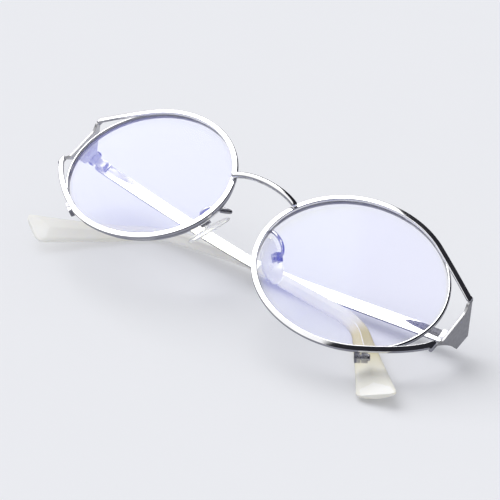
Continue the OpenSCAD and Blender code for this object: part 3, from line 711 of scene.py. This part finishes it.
STRIP_STEP, CORE_STEP, WHEEL_ARC, FACING_AWAY = 3, 1.2, 160, -0.7
butt_round, end_round = 0.8, 0.1
tip_end = bend_at + tip_len
core_end = tip_end - tip_solid
strip_outline = [(butt, -strip_h / 2), (strip_len, -strip_end / 2)]
strip_outline += [(x, -y) for x, y in reversed(strip_outline)]
strip_outline = rounded(strip_outline, [butt_round, end_round, end_round, butt_round], 5)
strip_soft, ground_from, core_sunk = 0.14, 0.02, 1
bevel_x, bevel_y, bevel_mid = butt + leaf_len + bevel_gap, strip_h / 5, 9
strip_edge = []
for a, b in zip(strip_outline, strip_outline[1:] + strip_outline[:1]):
    parts = ceil((b - a).length / STRIP_STEP)
    strip_edge += [a.lerp(b, k / parts) for k in range(parts)]
for name in SIDES:
    place = temple_place(name)
    level = place @ turn(-panto, "Z")
    swayed = [p + Vector((0, sway(name, p.x))) for p in strip_edge]
    mesh = prism("strip", swayed, strip_inner, strip_inner + strip_seen, level)
    wheel = level @ move(bevel_x, bevel_y + sway(name, bevel_mid), strip_inner - bevel_r + bevel_depth)
    cutter = prism("groove", circle(bevel_r, WHEEL_ARC), 0, bevel_len, wheel @ turn(90 + bevel_tilt, "Y"))
    mesh = joined("DIFFERENCE", mesh, cutter)
    strip = bevelled(mesh, strip_soft, satin, "temple_strip_" + name)
    strip.data.materials.append(groove_painted_reflection[name])
    unlaid = level.inverted()
    # The bevel's own faces take their side's painted reflection.
    for face in strip.data.polygons:
        at, way = unlaid @ face.center, (unlaid.to_3x3() @ face.normal).normalized()
        face.material_index = int(at.z > strip_inner + ground_from and way.z < FACING_AWAY)
    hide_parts("temple_" + name)
    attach(strip, name + "_temple")
    core_path = [temple_at(name, s) for s in stations(strip_len - core_sunk, core_end, CORE_STEP)]
    core = wire("core_wire_" + name, core_path, place, core_d, polished)
    core.visible_shadow = False
    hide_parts("temple_" + name)
    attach(core, name + "_temple")


# The tips: ivory plastic moulded round the core wire, with a low ridge along both faces. They flare to a
# paddle whose end is cut by a slanted facet. The plastic lets some light in. A beige is painted past the ear
# bend and faintly along the paddle as painted shade, on the right one much more than on the left, and the
# end facet takes a copy of the plastic without it, so that the facet reads as lit.
ivory, nodes, links = new_material("moulded_ivory")
plastic = nodes["Principled BSDF"]
plastic.inputs["IOR"].default_value = 1.3
plastic.inputs["Transmission Weight"].default_value = 0.12
plastic.inputs["Specular IOR Level"].default_value = 0.35
plastic.inputs["Subsurface Weight"].default_value = 0.25
plastic.inputs["Subsurface Radius"].default_value = (1.0, 0.9, 0.7)
plastic.inputs["Subsurface Scale"].default_value = 0.002
flow = noise(nodes, links, 90, 3)
tint = ramp(nodes, links, flow, (0.3, (0.965, 0.955, 0.925)), (0.7, (0.98, 0.975, 0.955)))
links.new(ranged(nodes, links, flow, 0.1, 0.22), plastic.inputs["Roughness"])
# Painted shade: a beige mixed in by the "bend" attribute, past the ear bend and along the paddle.
painted_shade_mix = nodes.new("ShaderNodeMix")
painted_shade_mix.data_type = "RGBA"
painted_shade_mix.inputs["B"].default_value = (0.67, 0.60, 0.30, 1)
links.new(own_value(nodes, "bend"), painted_shade_mix.inputs["Factor"])
links.new(tint, painted_shade_mix.inputs["A"])
links.new(painted_shade_mix.outputs["Result"], plastic.inputs["Base Color"])
thin = maths(nodes, links, "MULTIPLY_ADD", own_value(nodes, "paddle"), -0.6, 1.0)
let_light_through(nodes, links, plastic.outputs["BSDF"], (0.95, 0.945, 0.93), thin)
# A copy without the painted shade, for the end facet, so that it reads as lit.
unshaded_facet_ivory = ivory.copy()
unshaded_facet_ivory.name = "facet_ivory_unshaded"
unshaded_facet_ivory.node_tree.nodes[painted_shade_mix.name].inputs["B"].default_value = (0.98, 0.98, 0.975, 1)

tip_h0, tip_h1, tip_h2, tip_t0, tip_t1 = 3.7, 4.6, 10.8, 2.2, 2.6
tip_flare, facet_len, tip_slant, tip_corner, end_edge = 1.3, 4.6, 18, 1.6, -0.12
facet_spread, ridge_soft, mouth_gap, mouth_inset, tip_smooth = 5.5, 0.35, 0.15, 0.3, 24
# Painted shade per side, which also says how dense each paddle is for light, and the painted shade along each
# paddle.
painted_shade_and_density, painted_paddle_shade = {"right": 1.0, "left": 0.15}, {"right": 0.13, "left": 0.02}
painted_shade_mid, painted_shade_before, painted_shade_after, paddle_reach = bend_at + 6, 6, 14, 12
TIP_STEP, FACET_STEPS = 0.8, 14
ridge = [(0.5, 0.16), (0.4, 0.33), (0, 0.5), (-0.4, 0.33), (-0.5, 0.16), (-0.5, -0.16)]
ridge += [(u / 10, 0.0425 * abs(u) - 0.5) for u in range(-4, 5)] + [(0.5, -0.16)]


def tip_loop(name, s, inset=0.0):
    c, (high, out, t) = temple_at(name, s), across(name, s)
    past = max(0, s - bend_at) / tip_len
    before = (s - strip_len) / (bend_at - strip_len)
    if s < bend_at:
        height, thick = tip_h0 + (tip_h1 - tip_h0) * before, tip_t0 + (tip_t1 - tip_t0) * before
    else:
        height, thick = tip_h1 + (tip_h2 - tip_h1) * past ** tip_flare, tip_t1 + (tip_t0 - tip_t1) * past
    d = max(0, s - tip_end + tip_corner)
    height += 2 * sqrt(max(0, tip_corner * tip_corner - d * d)) - 2 * tip_corner
    lean = high + t * tan(radians(tip_slant)) * past * past
    cut = 0.5 - (0.5 + end_edge) * max(0, s - tip_end + facet_len) / facet_len
    height, thick = height - inset, thick - inset
    section = rounded([(u * height, max(v, -cut) * thick) for u, v in ridge], ridge_soft, 3)
    return [c + lean * p.x + out * p.y for p in section]


def tip_shade_and_density(name, s):
    """How much painted shade the plastic takes at a distance from the hinge, and how dense its paddle is for
    light.
    """
    width = painted_shade_before if s < painted_shade_mid else painted_shade_after
    past = min(1, max(0, s - bend_at) / paddle_reach)
    painted_shade = painted_shade_and_density[name] * exp(-((s - painted_shade_mid) / width) ** 2)
    return max(painted_shade, painted_paddle_shade[name] * past), painted_shade_and_density[name] * past


tip_stations = stations(strip_len + mouth_gap, tip_end - facet_len, TIP_STEP)
tip_stations += [tip_end - facet_len * (1 - i / FACET_STEPS) for i in range(1, FACET_STEPS + 1)]
for name in SIDES:
    place = temple_place(name)
    tip_loops = [tip_loop(name, strip_len, mouth_inset)] + [tip_loop(name, s) for s in tip_stations]
    mesh = skin("ear_tip_" + name, tip_loops, place)
    shades_and_densities = [tip_shade_and_density(name, s) for s in [strip_len] + tip_stations for _ in tip_loops[0]]
    # The "bend" attribute carries the painted shade.
    mark(mesh, "bend", [painted_shade for painted_shade, dense in shades_and_densities])
    mark(mesh, "paddle", [dense for painted_shade, dense in shades_and_densities])
    tip = piece("ear_tip_" + name, mesh, ivory, tip_smooth)
    tip.data.materials.append(unshaded_facet_ivory)
    high, out, t = across(name, tip_end - facet_len / 2)
    slope = (0.5 + end_edge) * tip_t0 / facet_len
    flat = (place.to_3x3() @ (t * slope - out)).normalized()
    shell = bmesh.new()
    shell.from_mesh(tip.data)
    for face in shell.faces:
        face.material_index = int(face.normal.dot(flat) > cos(radians(facet_spread)))
    for edge in shell.edges:
        edge.smooth = edge.smooth and len({face.material_index for face in edge.link_faces}) == 1
    shell.to_mesh(tip.data)
    shell.free()
    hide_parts("temple_tip_" + name)
    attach(tip, name + "_temple")


# The closing blocks: two small halves brazed behind the ends of each rim and drawn together by a screw, which
# holds the lens in.
lock_l, lock_w, lock_depth, lock_pin, lock_head, lock_out = 1.7, 2.4, 2.6, 1.2, 1.9, 0.3
lock_round, lock_edge_round, lock_soft, lock_reach = 0.5, 0.1, 0.12, 13.6
lock_point = oval(-lock_angle)
lock_run = oval(-lock_angle + 1) - oval(-lock_angle - 1)
lock_place = lens_place @ Matrix.Translation(on_front(lock_point.x, lock_point.y, rim_back))
lock_place = lock_place @ turn(degrees(atan2(lock_run.y, lock_run.x)), "Z") @ mirrored(-1) @ turn(180, "Z")
lock_screw_at = -lock_depth / 2 - braze
lock_bore = circle(lock_pin / 2 + bore_gap)
across_rim = Matrix(((0, 0, 1, 0), (1, 0, 0, 0), (0, 1, 0, 0), (0, 0, 0, 1)))
half_outline = rounded([
    (-lock_w / 2 + lock_out, -lock_depth), (lock_w / 2 + lock_out, -lock_depth),
    (lock_w / 2 + lock_out, braze), (-lock_w / 2 + lock_out, braze)
], [lock_round] * 2 + [lock_edge_round] * 2, 5)
for name, side in SIDES.items():
    place = front @ mirrored(side) @ lock_place @ across_rim
    hole_place = place @ move(lock_out, lock_screw_at, 0)
    for half, low in (("upper", split_gap / 2), ("lower", -split_gap / 2 - lock_l)):
        mesh = prism("half", half_outline, low, low + lock_l, place)
        mesh = joined("DIFFERENCE", mesh, prism("bore", lock_bore, -lock_reach, lock_reach, hole_place))
        closing = bevelled(mesh, lock_soft, steel, f"closing_half_{half}_{name}", 2)
        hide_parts(f"{half}_closing_block_{name}")
        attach(closing, "front")


# The pad arms: thin wires brazed behind the rims, looped up and back to the pad boxes. They are left duller
# than the rims.
pad_l, pad_w, pad_t = 14.0, 7.4, 1.7
pad_x, pad_down, pad_back, pad_tilt, pad_lean, pad_splay = 11.2, 5.0, 12.7, 38, 30, 26
tab_t, tab_reach, tab_root, tab_hole, box_clear, box_space = 1.2, 2.2, 0.2, 1.4, 0.6, 1.5
arm_d, box_t, box_l, pad_pin, pad_head = 1.0, 0.4, 2.6, 0.6, 1.2
pad_place = move(pad_x, -pad_down, -pad_back) @ turn(pad_lean, "X")
pad_place = pad_place @ turn(pad_tilt, "Z") @ turn(-pad_splay, "Y")
pad_pivot = pad_t / 2 + tab_hole
box_front, box_back = pad_t / 2 + box_clear, pad_pivot + box_space
box_half = tab_t / 2 + side_gap + box_t
arm_angle, LOOP_STEPS = 178, 48
rise_first, rise_last = Vector((-1.6, 2.4, -2.4)), Vector((-4.8, 4.6, -4.4))
fall_first, fall_last = Vector((4, 5, 0)), Vector((3, 0, 0))
root = oval(arm_angle)
arm_root = lens_place @ on_front(root.x, root.y, rim_back - 2 * braze)
arm_end = pad_place @ Vector((box_back - braze, 0, 0))
pad_turn = pad_place.to_3x3()
arm_guide = [arm_root, arm_root + rise_first, arm_root + rise_last,
             arm_end + pad_turn @ fall_first, arm_end + pad_turn @ fall_last, arm_end]
arm_path = [bezier(arm_guide, i / LOOP_STEPS) for i in range(LOOP_STEPS + 1)]
for name, side in SIDES.items():
    arm = wire("pad_wire_" + name, arm_path, front @ mirrored(side), arm_d, steel)
    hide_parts("pad_arm_" + name)
    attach(arm, "front")


# The pad boxes: folded steel clips of two cheeks and a back, on the ends of the arms. The tab of the pad goes
# between the cheeks.
box_soft, bore_reach = 0.1, 3
inside, wall = box_half - box_t, box_back - box_t
clip = [(box_front, -box_half), (box_back, -box_half), (box_back, box_half), (box_front, box_half),
        (box_front, inside), (wall, inside), (wall, -inside), (box_front, -inside)]
pad_bore = circle(pad_pin / 2 + bore_gap, 24)
for name, side in SIDES.items():
    place = front @ mirrored(side) @ pad_place
    mesh = prism("clip", clip, -box_l / 2, box_l / 2, place @ across_pin)
    hole = prism("bore", pad_bore, -bore_reach, bore_reach, place @ move(pad_pivot, 0, 0))
    box = bevelled(joined("DIFFERENCE", mesh, hole), box_soft, steel, "pad_clip_" + name, 2)
    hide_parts("pad_box_" + name)
    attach(box, "front")


# The nose pads: clear soft silicone, domed ovals a little narrower at the top, each with a tab moulded on its
# back that turns on the pad screw.
silicone, nodes, links = new_material("clear_silicone")
soft = nodes["Principled BSDF"]
soft.inputs["Base Color"].default_value = (0.97, 0.972, 0.985, 1)
soft.inputs["Transmission Weight"].default_value = 0.8
soft.inputs["IOR"].default_value = 1.25
links.new(ranged(nodes, links, noise(nodes, links, 300), 0.2, 0.4), soft.inputs["Roughness"])
let_light_through(nodes, links, soft.outputs["BSDF"], (0.92, 0.925, 0.95))

PAD_STEPS, PAD_LAYERS = 56, 10
pad_taper, pad_round_to, pad_bulge, pad_smooth = 0.18, 82, 0.42, 45
tab_from, tab_to, tab_round, tab_root_round = pad_t / 2 - 2 * tab_root, pad_t / 2 + tab_reach, 0.5, 0.05
pad_loops = []
for i in range(PAD_LAYERS + 1):
    a = radians(2 * pad_round_to * i / PAD_LAYERS - pad_round_to)
    share = cos(a) ** pad_bulge
    loop = []
    for j in range(PAD_STEPS):
        b = 2 * pi * j / PAD_STEPS
        width = share * pad_w / 2 * sin(b) * (1 - pad_taper * cos(b))
        loop.append((sin(a) * pad_t / 2, share * pad_l / 2 * cos(b), width))
    pad_loops.append(loop)
tab_outline = [(tab_from, -tab_t / 2), (tab_to, -tab_t / 2), (tab_to, tab_t / 2), (tab_from, tab_t / 2)]
tab_outline = rounded(tab_outline, [tab_root_round, tab_round, tab_round, tab_root_round], 5)
for name, side in SIDES.items():
    place = front @ mirrored(side) @ pad_place
    mesh = skin("pad", pad_loops, place, [(-pad_t / 2, 0, 0), (pad_t / 2, 0, 0)])
    mesh = joined("UNION", mesh, prism("tab", tab_outline, -tab_t / 2, tab_t / 2, place))
    hole = prism("bore", pad_bore, -bore_reach, bore_reach, place @ move(pad_pivot, 0, 0))
    pad = piece("soft_pad_" + name, joined("DIFFERENCE", mesh, hole), silicone, pad_smooth)
    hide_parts("nose_pad_" + name)
    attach(pad, name + "_pad")


# The screws: turned steel with a chamfered, slotted head. One node tree sets a screw on each given point,
# turned along that point's axis.
def screw_tree():
    tree = bpy.data.node_groups.new("slotted_screws", "GeometryNodeTree")
    socket = tree.interface.new_socket
    socket("Places", in_out="INPUT", socket_type="NodeSocketGeometry")
    sizes = {}
    for label in ("Shank diameter", "Shank length", "Head diameter", "Head height", "Slot width"):
        sizes[label] = socket(label, in_out="INPUT", socket_type="NodeSocketFloat").identifier
    sizes["Finish"] = socket("Finish", in_out="INPUT", socket_type="NodeSocketMaterial").identifier
    socket("Screws", in_out="OUTPUT", socket_type="NodeSocketGeometry")
    put, link = tree.nodes.new, tree.links.new
    given, made = put("NodeGroupInput"), put("NodeGroupOutput")

    def share(size, factor):
        node = put("ShaderNodeMath")
        node.operation = "MULTIPLY"
        link(size, node.inputs[0])
        node.inputs[1].default_value = factor
        return node.outputs[0]

    def lifted(geometry, height):
        up, shift = put("ShaderNodeCombineXYZ"), put("GeometryNodeTransform")
        link(height, up.inputs["Z"])
        link(geometry, shift.inputs["Geometry"])
        link(up.outputs[0], shift.inputs["Translation"])
        return shift.outputs[0]

    def turned(bottom, top, depth):
        cone = put("GeometryNodeMeshCone")
        cone.inputs["Vertices"].default_value = 32
        link(top, cone.inputs["Radius Top"])
        link(bottom, cone.inputs["Radius Bottom"])
        link(depth, cone.inputs["Depth"])
        return cone.outputs["Mesh"]

    def boolean(kind, first, second):
        cut = put("GeometryNodeMeshBoolean")
        cut.operation = kind
        cut.solver = "EXACT"
        link(first, cut.inputs[0 if kind == "DIFFERENCE" else 1])
        link(second, cut.inputs[1])
        return cut.outputs["Mesh"]

    shank_r, head_r = share(given.outputs["Shank diameter"], 0.5), share(given.outputs["Head diameter"], 0.5)
    head_h = given.outputs["Head height"]
    shank = lifted(turned(shank_r, shank_r, given.outputs["Shank length"]),
                   share(given.outputs["Shank length"], -1.0))
    straight, chamfer, narrow, overlap = 0.6, 0.4, 0.78, 0.5
    sunk = turned(shank_r, shank_r, share(head_h, overlap))
    head = turned(head_r, head_r, share(head_h, straight))
    crown = turned(head_r, share(head_r, narrow), share(head_h, chamfer))
    crown = lifted(crown, share(head_h, straight))
    whole = boolean("UNION", boolean("UNION", shank, sunk), boolean("UNION", head, crown))
    slot_size, slot = put("ShaderNodeCombineXYZ"), put("GeometryNodeMeshCube")
    link(share(given.outputs["Head diameter"], 2.0), slot_size.inputs["X"])
    link(given.outputs["Slot width"], slot_size.inputs["Y"])
    link(head_h, slot_size.inputs["Z"])
    link(slot_size.outputs[0], slot.inputs["Size"])
    screw = boolean("DIFFERENCE", whole, lifted(slot.outputs["Mesh"], head_h))
    axis, aim = put("GeometryNodeInputNamedAttribute"), put("FunctionNodeAlignRotationToVector")
    axis.data_type = "FLOAT_VECTOR"
    axis.inputs["Name"].default_value = "axis"
    aim.axis = "Z"
    link(axis.outputs[0], aim.inputs["Vector"])
    spread = put("GeometryNodeInstanceOnPoints")
    link(given.outputs["Places"], spread.inputs["Points"])
    link(screw, spread.inputs["Instance"])
    link(aim.outputs[0], spread.inputs["Rotation"])
    real, paint = put("GeometryNodeRealizeInstances"), put("GeometryNodeSetMaterial")
    link(spread.outputs[0], real.inputs[0])
    link(real.outputs[0], paint.inputs["Geometry"])
    link(given.outputs["Finish"], paint.inputs["Material"])
    link(paint.outputs[0], made.inputs[0])
    return tree, sizes


SCREWS, SCREW_SIZES = screw_tree()


def screws(name, nodes_shown, places, *sizes):
    """Screws whose heads stand on the given places, along each place's Z, with the tree's sizes in order."""
    mesh = bpy.data.meshes.new(name)
    mesh.from_pydata([place.translation for place in places], [], [])
    axis = mesh.attributes.new("axis", "FLOAT_VECTOR", "POINT")
    for i, place in enumerate(places):
        axis.data[i].vector = place.to_3x3().col[2].normalized()
    made = placed(name, mesh)
    spread = made.modifiers.new("spread", "NODES")
    spread.node_group = SCREWS
    for label, size in zip(SCREW_SIZES, sizes):
        spread[SCREW_SIZES[label]] = size * MM
    spread[SCREW_SIZES["Finish"]] = steel
    settled(made)
    smoothed(made.data, 30)
    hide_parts(*nodes_shown)
    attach(made, "front")


hinge_head, hinge_head_h, hinge_slot, lock_slot, pad_slot = 2.0, 0.6, 0.3, 0.35, 0.2
hinge_places, lock_places, pad_places = [], [], []
for name, side in SIDES.items():
    at_side = front @ mirrored(side)
    hinge_places.append(at_side @ pin_place @ move(0, hinge_h / 2, 0) @ turn(-90, "X"))
    lock_end = at_side @ lock_place @ move(split_gap / 2 + lock_l, lock_out, lock_screw_at)
    lock_places.append(lock_end @ turn(90, "Y"))
    pad_places.append(at_side @ pad_place @ move(pad_pivot, 0, box_half))
screws("hinge_screws", ("hinge_screw_right", "hinge_screw_left"), hinge_places,
       hinge_pin, hinge_h, hinge_head, hinge_head_h, hinge_slot)
screws("closing_screws", ("closing_screw_right", "closing_screw_left"), lock_places,
       lock_pin, 2 * lock_l + split_gap, lock_head, lock_head / 3, lock_slot)
screws("pad_screws", ("pad_screw_right", "pad_screw_left"), pad_places,
       pad_pin, 2 * box_half, pad_head, box_t, pad_slot)


# The table: a plain pale sheet that runs on past the picture, lit by an even sky and one broad soft lamp from
# the far left. Metal sees a white panel over the left half of the room, and a dim room on the right.
table, nodes, links = new_material("pale_table")
paper = nodes["Principled BSDF"]
paper.inputs["Roughness"].default_value = 0.9
paper.inputs["Specular IOR Level"].default_value = 0.0
pale = ramp(nodes, links, noise(nodes, links, 40), (0, (0.822, 0.830, 0.862)), (1, (0.828, 0.836, 0.868)))
links.new(pale, paper.inputs["Base Color"])
shaded = nodes.new("ShaderNodeBsdfDiffuse")
shaded.inputs["Color"].default_value = (0.30, 0.305, 0.35, 1)
rays = nodes.new("ShaderNodeLightPath")
mirror = maths(nodes, links, "SUBTRACT", rays.outputs["Is Glossy Ray"], rays.outputs["Is Transmission Ray"])
mirror.node.use_clamp = True
mixed(nodes, links, mirror, paper.outputs["BSDF"], shaded.outputs["BSDF"], "Material Output")
TABLE_HALF = 4.0
mesh = bpy.data.meshes.new("table_top")
mesh.from_pydata([(-TABLE_HALF, -TABLE_HALF, 0), (TABLE_HALF, -TABLE_HALF, 0),
                  (TABLE_HALF, TABLE_HALF, 0), (-TABLE_HALF, TABLE_HALF, 0)], [], [(0, 1, 2, 3)])
top = piece("table_top", mesh, table)

world = bpy.data.worlds.new("studio")
bpy.context.scene.world = world
world.use_nodes = True
nodes, links = world.node_tree.nodes, world.node_tree.links
sky = nodes["Background"]
sky.inputs["Color"].default_value = (0.98, 0.985, 1.0, 1)
sky.inputs["Strength"].default_value = 0.566
room = nodes.new("ShaderNodeBackground")
room.inputs["Strength"].default_value = 1.15
panel_way, panel_left, panel_right = (0.5, 0.115, 0), 0.43, 0.45
low_dim, low_from, low_to, far_dim, far_from, far_to = 0.12, 0.12, 0.3, 0.25, 0.6, 0.45
way, apart = nodes.new("ShaderNodeTexCoord"), nodes.new("ShaderNodeSeparateXYZ")
links.new(way.outputs["Generated"], apart.inputs["Vector"])
facing = maths(nodes, links, "ADD", along(nodes, links, way.outputs["Generated"], panel_way), 0.5)
panel = ramp(nodes, links, facing, (panel_left, (1, 1, 1)), (panel_right, (0.02, 0.02, 0.025)))
low = ranged(nodes, links, apart.outputs["Z"], low_dim, 1.0, low_from, low_to)
far = ranged(nodes, links, apart.outputs["Y"], far_dim, 1.0, far_from, far_to)
dim = nodes.new("ShaderNodeMix")
dim.data_type = "RGBA"
dim.blend_type = "MULTIPLY"
dim.inputs["Factor"].default_value = 1.0
links.new(panel, dim.inputs["A"])
links.new(maths(nodes, links, "MULTIPLY", low, far), dim.inputs["B"])
links.new(dim.outputs["Result"], room.inputs["Color"])
rays = nodes.new("ShaderNodeLightPath")
mixed(nodes, links, rays.outputs["Is Glossy Ray"], sky.outputs["Background"], room.outputs["Background"],
      "World Output")

lamp = bpy.data.lights.new("broad_lamp", "SUN")
lamp.energy = 1.8
lamp.angle = radians(58)
lamp_object = placed("broad_lamp", lamp)
lamp_object.rotation_euler = Vector((0.62, -0.12, -0.78)).to_track_quat("-Z", "Y").to_euler()

camera = bpy.data.cameras.new("camera")
camera.lens = 147.74
camera.clip_start = 0.01
camera_object = placed("camera", camera)
camera_object.location = (0.30543, -0.39500, 0.29901)
camera_object.rotation_euler = (radians(60.241), radians(-1.490), radians(38.328))
bpy.context.scene.camera = camera_object
bpy.context.scene.view_settings.view_transform = "Standard"
